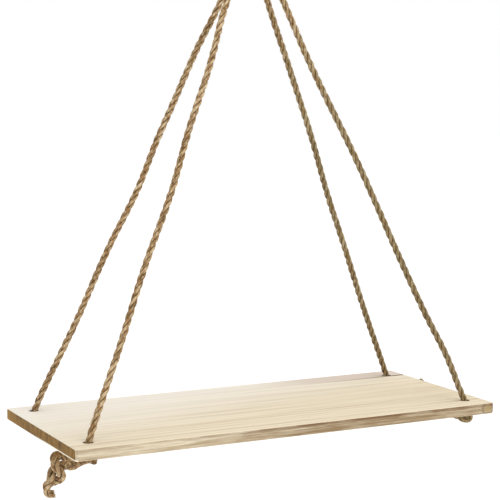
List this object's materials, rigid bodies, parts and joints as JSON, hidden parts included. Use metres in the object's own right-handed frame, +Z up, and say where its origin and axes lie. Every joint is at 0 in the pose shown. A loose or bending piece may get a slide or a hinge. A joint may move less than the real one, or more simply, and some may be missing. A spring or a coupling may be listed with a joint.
{
  "type": "rope hanging shelf",
  "caption": "Rectangular wooden board hung level from a hook by looped jute ropes passed through corner holes and knotted beneath.",
  "frame": {"origin": "where the hook bears, under the tops of the rope loops", "axes": "+X along the board to the viewer's right, +Y towards the wall, +Z up"},
  "size_m": [0.4602, 0.19, 0.5093],
  "materials": {
    "board": "pale planed wood, unvarnished, darker saw-cut edges",
    "rope": "natural three-strand jute rope, rough"
  },
  "bodies": {
    "root": {"board": "board", "rope_left": "rope", "rope_right": "rope"}
  },
  "joints": []
}
